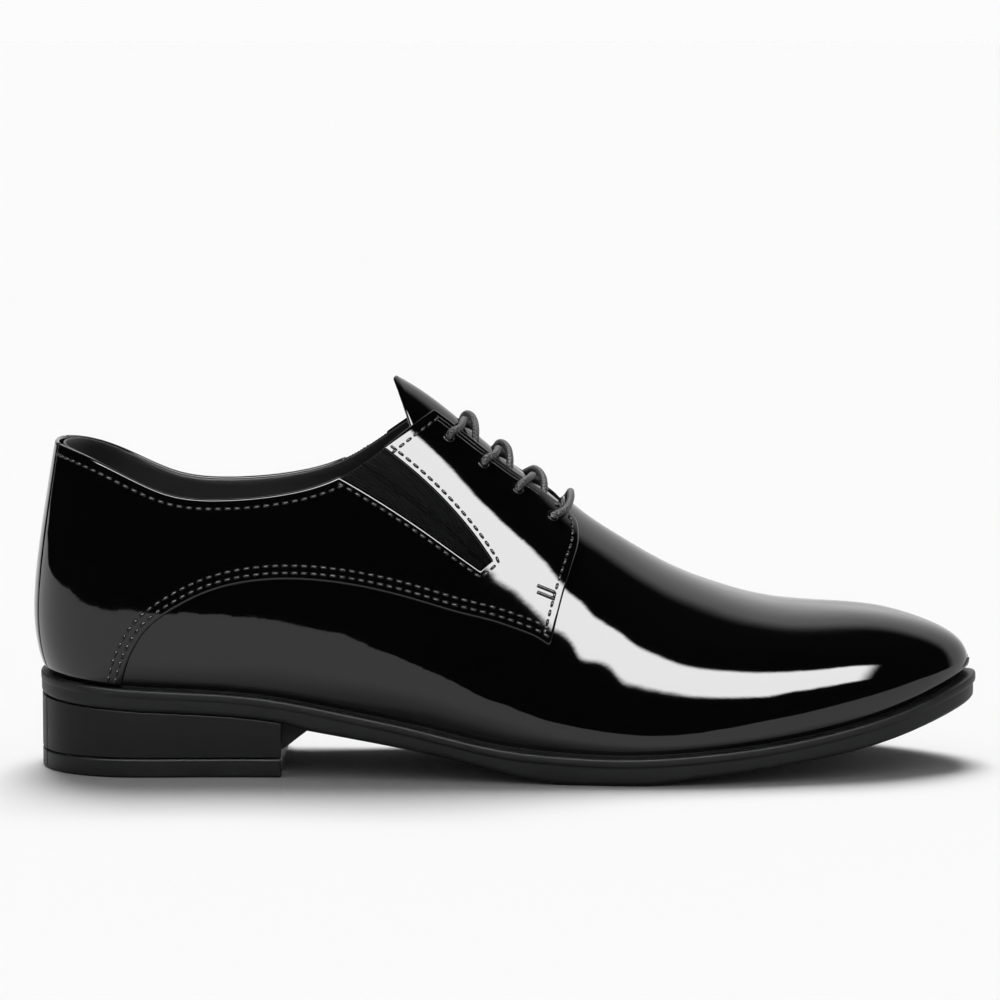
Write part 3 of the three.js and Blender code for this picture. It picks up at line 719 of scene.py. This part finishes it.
class Quarter:
    """The lines of one quarter, as turns and rises on its side of the last."""

    def __init__(self, side):
        self.side = side
        self.left = -side
        rear = self.read(gore_table["rear_x"], gore_table["rear_z"])
        front = self.read(gore_table["front_x"], gore_table["front_z"])
        for line in (rear, front):
            line[0, 1] = collar_rise(line[:1, 0], side)[0]
        tab = self.read(tab_table["x"], tab_table["z"])
        self.back = strip_turn(backstay_half + 0.9, side)
        foot_rear = rear[-1, 0] + 0.004
        foot_front = front[-1, 0] + 0.003
        end = turn_at(seam_table["at"][-1] * sole_length)
        corner = facing_corner(side)
        self.gore_rear = trace(rear[::-1], side)
        self.gore_front = trace(front[::-1], side)
        self.gore_foot = trace([rear[-1], front[-1]], side)
        self.gore_top = self.level(rear[0, 0], front[0, 0], collar_rise)
        self.seam = self.level(self.back, end, seam_rise)
        self.seam_parts = [self.level(self.back, foot_rear, seam_rise),
                           self.level(foot_rear, foot_front, seam_rise),
                           self.level(foot_front, end, seam_rise)]
        self.topline = [self.level(self.back, rear[0, 0], collar_rise),
                        self.level(front[0, 0], corner, collar_rise)]
        self.line_rear = self.rising(foot_rear, rear[-1], self.gore_rear)
        self.line_front = self.rising(foot_front, front[-1], self.gore_front)
        turns = np.linspace(turn_at(0.545 * sole_length), corner, 9)
        facing = np.stack([turns, facing_rise(turns, side)], -1)
        tab_foot = np.array([[end, seam_rise(np.array([end]), side)[0]]])
        x = 0.5640 * sole_length
        nose = locate_plan(np.array([x]), ridge_side(0.5640) + side * (gap_half(x) + 1.0), side)
        self.tab_front = trace(np.concatenate([tab_foot, tab[:1]]), side)
        self.throat_line = trace(np.concatenate([tab, nose, facing[:1]]), side)
        self.facing_line = trace(facing, side)
        self.front_line = chain((0.24, self.tab_front), (0.42, self.throat_line), (1.0, self.facing_line))

    def read(self, x, z):
        return locate(sole_length * np.array(x), instep_height * np.array(z), self.side)

    def level(self, start, end, rise):
        def line(share):
            turn = start + (end - start) * np.asarray(share, float)
            return np.stack([turn, rise(turn, self.side)], -1)
        return line

    def rising(self, foot, tip, rest):
        low = np.array([[foot, seam_rise(np.array([foot]), self.side)[0]], tip])
        straight = lambda share: low[0] + (low[1] - low[0]) * np.asarray(share)[..., None]
        return chain((tip_level, straight), (1.0, rest))

    def areas(self):
        up = close_steps(64)
        up = np.unique(np.concatenate([up, [tip_level - 0.006, tip_level, tip_level + 0.006]]))
        low = up[up <= tip_level]
        across = close_steps(150, 0.003)
        few = close_steps(9, 0.03)
        side = self.side
        back_rise = collar_rise(np.array([self.back]), side)[0]
        back = lambda share: np.stack([np.full(np.shape(share), self.back), share * back_rise], -1)
        part = lambda line: (lambda share: line(np.asarray(share) * tip_level))
        return [
            (side, patch(self.seam_parts[0], self.topline[0], back, self.line_rear, across, up)),
            (side, patch(self.seam_parts[1], self.gore_foot, part(self.line_rear), part(self.line_front),
                         few, low / tip_level)),
            (side, patch(self.seam_parts[2], self.topline[1], self.line_front, self.front_line,
                         close_steps(46), up)),
        ]


quarters = {"lateral": Quarter(-1), "medial": Quarter(1)}
for word, quarter in quarters.items():
    piece = shell(f"quarter_leather_{word}", quarter.areas(), clearance - 0.2, quarter_face, patent)
    dress(piece, "patent_leather", f"quarter_{word}")

# Backstay: the upright strip of patent leather stitched over the seam at the heel's back.
half = backstay_half - 0.7
areas = []
for side in (-1, 1):
    turns = np.linspace(0, strip_turn(half, side), 14)
    limit = collar_rise(turns, side)
    areas.append((side, columns_up(turns, 0 * limit, limit, close_steps(64))))
backstay = shell("backstay_leather", areas, clearance - 0.2, quarter_face, patent)
dress(backstay, "patent_leather", "backstay")


# Gores: elastic webbing let into the quarters, so that the foot gets in without unlacing.
# Rubber threads run down it under a woven cover, and two finer threads mark its middle.
def elastic_webbing():
    finish = Finish("elastic_webbing", Base_Color=(0.004, 0.004, 0.0042, 1), Roughness=0.5,
                    Specular_IOR_Level=0.06)
    weave = finish.noise(1600, 2, 0.7)
    return finish.feed(Normal=finish.bump(weave, 0.00012, 0.6))


def ribs(rows, columns):
    across = np.linspace(0, 1, rows)[:, None]
    cords = 0.16 * np.cos(2 * np.pi * 15 * across)
    threads = 0.4 * np.exp(-((across - 0.45) / 0.012)**2) + 0.4 * np.exp(-((across - 0.55) / 0.012)**2)
    return (cords + threads) * np.ones((1, columns))


webbing = elastic_webbing()
for word, quarter in quarters.items():
    area = patch(quarter.gore_foot, quarter.gore_top, quarter.gore_rear, quarter.gore_front,
                 np.linspace(0, 1, 180), np.linspace(0, 1, 40))
    piece = shell(f"gore_webbing_{word}", [(quarter.side, area)], clearance - 0.2, clearance + 0.5,
                  webbing, ribs)
    dress(piece, "elastic", f"gore_{word}")

# Tongue: a lined patent flap that starts under the vamp's edge and ends above the facings.
tongue_foot, tongue_top = 0.602 * sole_length, 0.385 * sole_length
tongue_half = collar_gap / 2 + 6.5 + 8.0
areas = []
for side in (-1, 1):
    x = np.linspace(tongue_foot, tongue_top, 60)
    from_top = np.clip((x - tongue_top) / (0.75 * tongue_half), 0, 1)
    wide = tongue_half * (1 - 0.5 * smoothstep(x, lowest_eyelet - 20, tongue_foot))
    wide *= np.sqrt(np.maximum(0.01, 1 - (1 - from_top)**2))
    places = []
    for share in np.linspace(0, 1, 26):
        y = ridge_side(x / sole_length) + side * wide * (1 - share)
        places.append(locate_plan(x, y, side))
    area = np.stack(places, 1)[::-1]
    area[:, -1, 1] = 1.0
    areas.append((side, area))
tongue = shell("tongue_leather", areas, -wall - 2.2, -wall - 0.4, patent)
dress(tongue, "patent_leather", "tongue")

# Insole: the board and sock inside the shoe, raised under the heel as an elevator shoe's is.
insole_thickness = 3.0
heel_lift = 16.0
turns = np.linspace(0.03, 0.985, 90)
across = np.linspace(0, 1, 31)
level = feather_height(share_at(turns)) + insole_thickness
level += heel_lift * (1 - smoothstep(share_at(turns), 0.12, 0.62))
edges = []
for side in (-1, 1):
    rise = rise_where(turns, side, lambda point: point[..., 2] < level)
    edges.append(on_last(turns, side, rise, -wall - 0.4))
points = edges[0][:, None] + (edges[1] - edges[0])[:, None] * across[None, :, None]
cup = (2 * across - 1)**4
points[..., 2] += 1.6 * cup[None] - 0.8 * (1 - cup[None]) * (1 - share_at(turns))[:, None]
faces = grid_faces(*points.shape[:2]).tolist()
insole = build("insole_sock", points.reshape(-1, 3), faces, lining_leather())
board = insole.modifiers.new("board", "SOLIDIFY")
board.thickness = insole_thickness * 0.001
board.offset = -1
dress(insole, "lining_leather", "insole")


# Outsole: one satin black rubber moulding. The welt stands out over the layer below it,
# the waist is hollow behind the ball, and the tread touches the floor under the ball only.
toe_spring = 21.5
shank_height = 15.2
heel_band = 7.5
heel_length = 80.0
heel_inset = 0.4
welt_thickness = 3.0
welt_step = 0.7
underside_table = {
    "at": (0.29, 0.36, 0.41, 0.46, 0.52, 0.56, 0.60, 0.64, 0.68, 0.74, 0.80, 0.86, 0.92, 1),
    "of": (shank_height,) * 5 + (toe_spring,) * 9,
    "height": (1, 0.770, 0.590, 0.370, 0.090, -0.006, -0.012, -0.006, 0.065, 0.153, 0.265, 0.400, 0.605,
               1),
}
lower_line = column(underside_table, "height")


def underside(at):
    band = feather_height(at) - heel_band
    front = heel_length / sole_length
    waist = np.maximum(0, lower_line(at))
    return band + (waist - band) * smoothstep(at, front, front + 0.03)


def moulded_rubber(name, shade):
    finish = Finish(name, Roughness=0.45, Specular_IOR_Level=0.2)
    streaks = finish.noise(70, 4, 0.6)
    grain = finish.bump(finish.noise(1500, 2, 0.5), 0.00003, 0.4)
    dark, light = (0.6 * shade, 0.62 * shade, 0.62 * shade, 1), (1.3 * shade, 1.34 * shade, 1.34 * shade, 1)
    return finish.feed(Normal=grain, Roughness=streaks * 0.16 + 0.38,
                       Base_Color=finish.blend(streaks, dark, light))


rubber = moulded_rubber("moulded_rubber", 0.014)
# The heel block gets a darker copy of the same rubber: painted shade.
heel_rubber_painted_shade = moulded_rubber("heel_rubber_painted_shade", 0.004)
turns = np.linspace(0, 1, 170)
loop_turn = np.concatenate([turns, turns[-2:0:-1]])
loop_side = np.concatenate([-np.ones(len(turns)), np.ones(len(turns) - 2)])
loop_at = share_at(loop_turn)
step = welt_step * (0.25 + 0.75 * smoothstep(loop_at, 0.3, 0.5))
top, floor_line = feather_height(loop_at) - clearance, underside(loop_at)
welt_foot = top - welt_thickness
profile = (
    (5.0, top), (0.95, top), (0.45, top - 0.06), (0.13, top - 0.28), (0.0, top - 0.65),
    (0.0, welt_foot + 0.75), (0.10, welt_foot + 0.40), (0.9 * step, welt_foot + 0.28),
    (step, welt_foot + 0.1), (step, welt_foot - 0.5), (step, floor_line + 1.7),
    (step + 0.12, floor_line + 0.9), (step + 0.5, floor_line + 0.3), (step + 1.2, floor_line + 0.02),
    (step + 2.0, floor_line), (step + 6.0, floor_line),
)
rings = []
for inset, height in profile:
    edge, _ = edge_point(loop_turn, loop_side, inset + 0 * loop_turn)
    rings.append(np.concatenate([edge, height[:, None]], 1))
rings = rings[::-1]


def stack(name, rings, finish):
    """A closed body from loops, lowest first; its caps run across from side to side."""
    count = len(rings[0])
    stations = count // 2
    faces = hoops(len(rings), count)
    top = (len(rings) - 1) * count
    for i in range(stations):
        ring = [i, i + 1, count - i - 1, (count - i) % count]
        faces.append([corner for n, corner in enumerate(ring[::-1]) if corner not in ring[::-1][:n]])
        faces.append([top + corner for n, corner in enumerate(ring) if corner not in ring[:n]])
    return build(name, np.concatenate(rings), faces, finish)


outsole = stack("outsole_moulding", rings, rubber)
dress(outsole, "sole_rubber", "outsole")

# Heel: the block under the sole and the top piece under the block, moulded of the same
# rubber and cut square at the breast, with a fine groove between them. The block's copy of
# the rubber is painted darker than the sole's and the top piece's: painted shade.
top_piece_thickness = 6.2


def heel_loop(inset, steps=60):
    reach = turn_at(heel_length - inset)
    turns = reach * np.linspace(1, 0, steps)
    inner, _ = edge_point(turns, np.ones(steps), np.full(steps, inset))
    outer, _ = edge_point(turns[::-1][1:], -np.ones(steps - 1), np.full(steps - 1, inset))
    return np.concatenate([inner, outer])


def slab(name, loop, low, high, finish, bevel):
    """A block with the loop's plan between two heights, its edges eased."""
    count = len(loop)
    points = np.concatenate([np.column_stack([loop, low]), np.column_stack([loop, high])])
    faces = hoops(2, count)
    faces += [list(range(count))[::-1], list(range(count, 2 * count))]
    piece = build(name, points, faces, finish)
    ease = piece.modifiers.new("eased_edges", "BEVEL")
    ease.width = bevel * 0.001
    ease.segments = 3
    ease.angle_limit = math.radians(40)
    shade = piece.modifiers.new("flat_faces", "WEIGHTED_NORMAL")
    shade.keep_sharp = True
    return piece


loop = heel_loop(heel_inset)
flat = np.zeros(len(loop))
seat = underside(np.minimum(loop[:, 0], heel_length - heel_inset) / sole_length) - 0.1
block = slab("heel_block_moulding", loop, flat + top_piece_thickness + 0.25, seat, heel_rubber_painted_shade, 0.3)
dress(block, "sole_rubber", "heel_block")
piece = slab("top_piece", heel_loop(heel_inset), flat, flat + top_piece_thickness, rubber, 0.8)
dress(piece, "sole_rubber", "heel_top_piece")

# In front of its breast the sole runs down into a wedge, hollow in front.
wedge_length, wedge_foot, wedge_half = 9.2, 8.4, 0.41 * heel_width
reach = heel_length - heel_inset
share = np.linspace(0, 1, 9)
wedge_x = reach + wedge_length * share
wedge_z = wedge_foot + (underside(wedge_x / sole_length) - wedge_foot) * share**1.3
sunk = reach - 4
outline = [(sunk, wedge_foot), *zip(wedge_x, wedge_z), (sunk, underside(reach / sole_length) - 0.2)]
points = [(x, side * wedge_half, z) for side in (-1, 1) for x, z in outline]
count = len(outline)
faces = [face[::-1] for face in hoops(2, count)]
faces += [list(range(count)), list(range(count, 2 * count))[::-1]]
wedge = build("breast_wedge", points, faces, rubber, smooth=False)
dress(wedge, "sole_rubber")

# The mould's parting lines run down the heel's back, in line with the backstay's edges.
for word, side in (("lateral", -1), ("medial", 1)):
    turn = np.array([strip_turn(backstay_half, side)])
    edge, out = edge_point(turn, np.array([side]), np.array([heel_inset]))
    level = np.linspace(1.0, feather_height(share_at(turn))[0] - 1.5, 12)
    points = np.column_stack([np.repeat(edge, 12, 0) - 0.06 * out, level])
    dress(tube(f"heel_line_{word}", points, 0.22, heel_rubber_painted_shade, sides=6), "sole_rubber")

# Lace: one waxed round cord. Its bar lies outside, across the throat, and each end goes down
# into an eyelet, under its own facing, and up over the tongue and the other facing to the
# next eyelet. Both ends stop inside at the top eyelets.
lace_radius = 1.2
eyelet_insets = (6.5, 4.6, 4.0, 3.8)


def waxed_cord():
    finish = Finish("waxed_cord", Base_Color=(0.035, 0.035, 0.037, 1), Roughness=0.5)
    where = finish.place("UV")
    along = finish.axis(where, "X")
    turn = finish.axis(where, "Y") * 4.0
    right = finish.math("SINE", (along * 0.8 + turn) * math.tau)
    left = finish.math("SINE", (along * 0.8 - turn) * math.tau)
    braid = finish.math("MAXIMUM", right, left)
    fibre = finish.noise(2500, 2, 0.6)
    normal = finish.bump(fibre, 0.00006, 0.4, finish.bump(braid, 0.00016, 0.8))
    # The cord's colour follows the braid's relief: darker in its grooves and lighter on its raised strands,
    # as painted shade.
    shade = finish.blend(braid * 0.5 + 0.5, (0.014, 0.014, 0.015, 1), (0.052, 0.052, 0.055, 1))
    return finish.feed(Normal=normal, Base_Color=shade)


def instep_point(x, offset, grow):
    """A point over the instep: offset is the distance from the ridge, outer side negative."""
    side = -1 if offset < 0 else 1
    place = locate_plan(np.array([x]), np.array([ridge_side(x / sole_length) + offset]), side)
    return on_last(place[:, 0], side, place[:, 1], grow)[0]


def lace_half(side):
    """One half of the lace, from the middle of the outer bar to its top eyelet."""
    x = lowest_eyelet
    edge = gap_half(x)
    hole = edge + eyelet_insets[0]
    points = [instep_point(x + 5.6, side * 0.01, 2.2), instep_point(x + 5.2, side * 0.35 * hole, 2.7),
              instep_point(x + 4.4, side * 0.66 * hole, 2.9), instep_point(x + 2.2, side * 0.9 * hole, 2.6)]
    for row in range(1, eyelet_rows):
        following = lowest_eyelet - eyelet_pitch * row
        away = gap_half(following)
        far = away + eyelet_insets[row]
        over = 2.2 if side < 0 else 0.0
        for step_x, offset, grow in (
                (0.0, side * hole, 0.9), (0.0, side * hole, -1.0), (-0.7, side * (hole - 1.8), -3.0),
                (-1.2, side * (edge + 1.4), -3.1), (-1.3, side * (edge - 1.6), -2.0),
                (-1.6, side * (edge - 4.6), -1.1 + 0.3 * over), (-3.2, side * 2.0, -1.2 + over),
                (-5.0, -side * 4.0, -0.8 + 0.8 * over), (-7.4, -side * (away - 1.5), 2.2),
                (-9.0, -side * (away + 1.4), 2.8), (-10.5, -side * (far - 1.2), 2.3)):
            points.append(instep_point(x + step_x, offset, grow))
        x, edge, hole, side = following, away, far, -side
    points += [instep_point(x, side * hole, 0.9), instep_point(x, side * hole, -1.0),
               instep_point(x - 0.5, side * (hole - 1.0), -2.6)]
    return points


control = np.array(lace_half(-1)[::-1] + lace_half(1)[1:])
run = lengths(control)
fine = np.linspace(0, run[-1], 620)
cord_points = np.stack([fair(run, control[:, axis])(fine) for axis in range(3)], 1)
lace = tube("lace_cord", cord_points, lace_radius, waxed_cord())
dress(lace, "lace", "lace_bar", *[f"lace_cross_{row + 1}" for row in range(eyelet_rows - 1)])


# Stitches: waxed black thread, each stitch a little bead sunk at both ends, in rows beside
# the seam, the facing, the gore and the topline.
def waxed_thread():
    finish = Finish("waxed_thread", Base_Color=(0.005, 0.005, 0.005, 1), Roughness=0.25)
    return finish.feed(Normal=finish.bump(finish.noise(3000, 1, 0.5), 0.00004, 0.4))


thread = waxed_thread()
stitch_pitch = 3.1
stitch_length = 2.45
stitch_radius = 0.48


def sewn(name, side, rows, grow):
    """Joined stitches along rows of places."""
    vertices, faces = [], []
    profile = ((-0.5, 0.25, -0.35), (-0.38, 0.85, -0.05), (-0.15, 1.0, 0.12), (0.15, 1.0, 0.12),
               (0.38, 0.85, -0.05), (0.5, 0.25, -0.35))
    sides = 8
    angle = 2 * np.pi * np.arange(sides)[:, None] / sides
    for places in rows:
        points = on_last(places[:, 0], side, places[:, 1], grow)
        normals = last_normal(places[:, 0], side, places[:, 1])
        run = lengths(points)
        for centre in np.arange(stitch_pitch / 2, run[-1], stitch_pitch):
            here, ahead, up = [np.array([np.interp(place, run, line[:, k]) for k in range(3)])
                               for place, line in ((centre, points), (centre + 0.4, points),
                                                   (centre, normals))]
            way = (ahead - here) / (np.linalg.norm(ahead - here) + 1e-9)
            up = up - way * (up @ way)
            up /= np.linalg.norm(up)
            ring = np.cos(angle) * np.cross(way, up) + np.sin(angle) * up
            base = len(vertices)
            for along, wide, lift in profile:
                middle = here + way * along * stitch_length + up * lift * 0.8
                vertices += list(middle + ring * stitch_radius * wide)
            faces += hoops(len(profile), sides, base)
            faces.append([base + k for k in range(sides)][::-1])
            faces.append([base + (len(profile) - 1) * sides + k for k in range(sides)])
    dress(build(name, np.array(vertices), faces, thread), "lace")


for word, quarter in quarters.items():
    side = quarter.side
    left = quarter.left
    share = np.linspace(0, 1, 260)
    seam_end = turn_at(seam_table["at"][-1] * sole_length)
    start = (turn_at(seam_foot) - quarter.back) / (seam_end - quarter.back)
    seam = quarter.seam(start + (1 - start) * share)
    front = quarter.front_line(share)
    rear_gore = quarter.gore_rear(share)
    front_gore = quarter.gore_front(share)
    topline = [line(share) for line in quarter.topline]
    rows = [slide(seam, side, left * distance) for distance in (1.55, 3.85)]
    rows += [slide(front[4:112], side, left * 2.0)]
    around_tip = np.concatenate([rear_gore[::-1], quarter.gore_foot(share)[1:-1], front_gore])
    rows += [slide(around_tip, side, -left * 1.5)]
    rows += [slide(line, side, -left * 2.6) for line in topline]
    sewn(f"stitches_{word}", side, rows, quarter_face + 0.02)

# Facings: two fine lines are pressed along each edge, and a stitched bar holds the corner
# between the gore's tip and the throat.
for word, quarter in quarters.items():
    side = quarter.side
    left = quarter.left
    edge = quarter.facing_line(np.linspace(0.10, 0.97, 120))
    for number, distance in enumerate((1.3, 2.6)):
        places = slide(edge, side, left * distance)
        points = on_last(places[:, 0], side, places[:, 1], quarter_face)
        dress(tube(f"facing_line_{word}_{number + 1}", points, 0.17, patent, sides=6), "patent_leather")
    for number, step_up in enumerate((0.0, 2.0)):
        places = locate(np.linspace(0.529, 0.5475, 12) * sole_length,
                        np.linspace(0.600, 0.577, 12) * instep_height + step_up, side)
        points = on_last(places[:, 0], side, places[:, 1], quarter_face + 0.15)
        dress(tube(f"bar_stitch_{word}_{number + 1}", points, 0.55, thread, sides=8), "lace")

# Eyelets: plain punched holes, each with a thin black ring turned over its edge.
eyelet_radius = 2.0
for word, quarter in quarters.items():
    side = quarter.side
    for row, inset in enumerate(eyelet_insets):
        x = lowest_eyelet - eyelet_pitch * row
        offset = gap_half(x) + inset
        middle, ahead, beside = [instep_point(x + dx, side * (offset + dy), quarter_face + 0.05)
                                 for dx, dy in ((0, 0), (1, 0), (0, 1))]
        along = (ahead - middle) / np.linalg.norm(ahead - middle)
        across = (beside - middle) - along * ((beside - middle) @ along)
        across /= np.linalg.norm(across)
        angle = np.linspace(0, 2 * np.pi, 29)[:, None]
        ring = middle + (eyelet_radius - 0.25) * (np.cos(angle) * along + np.sin(angle) * across)
        dress(tube(f"eyelet_{word}_{row + 1}", ring, 0.25, patent, sides=8), "patent_leather")

# Studio: a white floor under a soft box, a white wall behind the shoe, a dark room in front
# of it and one long strip light high on the camera's side. All of it is in the world: the
# patent mirrors the wall and the strip, and the floor takes the soft box's light.
plain_white = Finish("plain_white", Base_Color=(0.86, 0.86, 0.86, 1), Roughness=0.9,
                     Specular_IOR_Level=0.0)
mesh = bpy.data.meshes.new("floor")
side_reach, front_reach, back_reach = 3.0, 0.72, 6.0
corners = [(-side_reach, -front_reach, 0), (side_reach, -front_reach, 0), (side_reach, back_reach, 0),
           (-side_reach, back_reach, 0)]
mesh.from_pydata(corners, [], [(0, 1, 2, 3)])
mesh.materials.append(plain_white.material)
link("floor", mesh)

world = bpy.data.worlds.new("studio")
bpy.context.scene.world = world
world.use_nodes = True
world.node_tree.nodes.clear()


class Room(Finish):
    """The world's nodes, written as a finish is."""

    def __init__(self, tree):
        self.tree = tree


room = Room(world.node_tree)
way = room.node("ShaderNodeTexCoord", output="Generated")
side_way, depth, height = [room.axis(way, letter) for letter in "XYZ"]


def fade(value, start, end):
    return room.node("ShaderNodeMapRange", {"interpolation_type": "SMOOTHSTEP"},
                     {"Value": value, "From Min": start, "From Max": end})


def fade_degrees(angle, start, end):
    return fade(angle, math.radians(start), math.radians(end))


# Angles above the horizon behind the shoe and in front of it, and towards the toe.
steep = room.math("ARCTAN2", height, depth)
front_steep = room.math("ARCTAN2", height, 0 - depth)
toe_turn = room.math("ARCTAN2", side_way, room.math("SQRT", 1 - side_way * side_way))
back_wall = fade(depth, 0.10, 0.30) * fade_degrees(steep, 72, 50) * 0.9
back_wall = back_wall * fade(side_way, -0.55, -0.25) + 0.004
strip = fade_degrees(front_steep, 29, 32) * fade_degrees(front_steep, 52, 49)
strip = strip * fade_degrees(toe_turn, 44, 34) * fade_degrees(toe_turn, -46, -36)
soft_box = fade_degrees(steep, 43, 53) * fade_degrees(steep, 84, 70)
soft_box = soft_box * fade(room.math("ABSOLUTE", side_way), 0.30, 0.10)
seen = room.node("ShaderNodeLightPath", output="Is Camera Ray")
mirrored = room.node("ShaderNodeLightPath", output="Is Glossy Ray")
shade = mirrored * (back_wall + strip * 19.5) + (1 - mirrored) * (soft_box * 16.4 + 0.20)
shade = seen * 0.972 + (1 - seen) * shade
glow = room.node("ShaderNodeBackground", None, {"Color": (1, 1, 1, 1), "Strength": shade})
room.node("ShaderNodeOutputWorld", None, {"Surface": glow})

# Camera: level with the sole's far edge, looking across the shoe from its outer side.
elevation = math.radians(7.0)
distance = 1.8
frame_width = 0.3268
aim = Vector((0.1502 + shift[0], 0.0, 0.0861))
camera = bpy.data.cameras.new("camera")
camera.sensor_width = 36.0
camera.lens = 36.0 * distance / frame_width
camera.clip_start = 0.05
camera.clip_end = 30.0
viewer = link("camera", camera)
viewer.location = aim + Vector((0, -math.cos(elevation), math.sin(elevation))) * distance
viewer.rotation_euler = (aim - viewer.location).to_track_quat("-Z", "Y").to_euler()
bpy.context.scene.camera = viewer
bpy.context.scene.view_settings.view_transform = "Standard"
